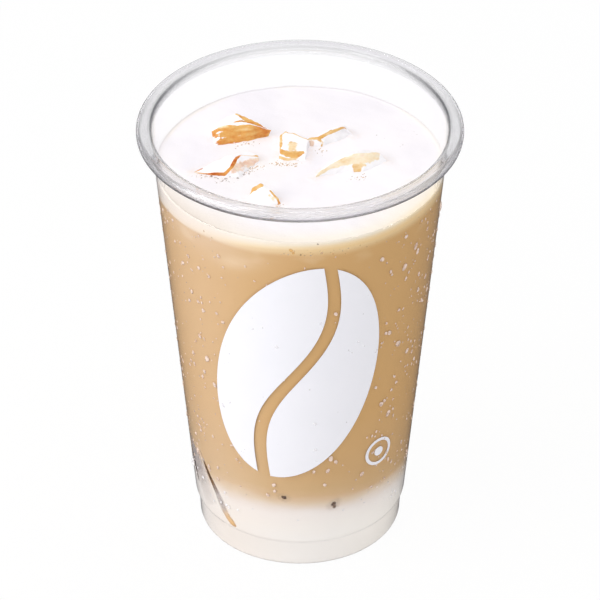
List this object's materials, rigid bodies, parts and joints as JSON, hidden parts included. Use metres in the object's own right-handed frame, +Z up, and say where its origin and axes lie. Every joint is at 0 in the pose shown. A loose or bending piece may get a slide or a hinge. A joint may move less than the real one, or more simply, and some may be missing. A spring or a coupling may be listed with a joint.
{
  "type": "iced latte in a clear plastic cup",
  "caption": "Iced latte in a clear tapered plastic cup with a curled lip: milk at the bottom, latte above, a foam top and ice poking through.",
  "frame": {"origin": "centre of the ring that the cup's foot rests on", "axes": "+Z up the cup's axis, +X to the right and +Y to the back of the side that carries the print"},
  "size_m": [0.098, 0.098, 0.1427],
  "materials": {
    "clear_plastic": "clear, glossy, thin sheet",
    "milk": "opaque liquid, smooth",
    "latte": "opaque liquid, smooth",
    "milk_foam": "soft matt foam with fine bubbles",
    "ice": "melting ice stained by the coffee, foam on top"
  },
  "bodies": {
    "root": {"cup": "clear_plastic", "milk_layer": "milk", "latte_layer": "latte", "foam_layer": "milk_foam", "ice_back_left": "ice", "ice_middle": "ice", "ice_back_right": "ice", "ice_right": "ice", "ice_left": "ice", "ice_front": "ice"}
  },
  "joints": []
}
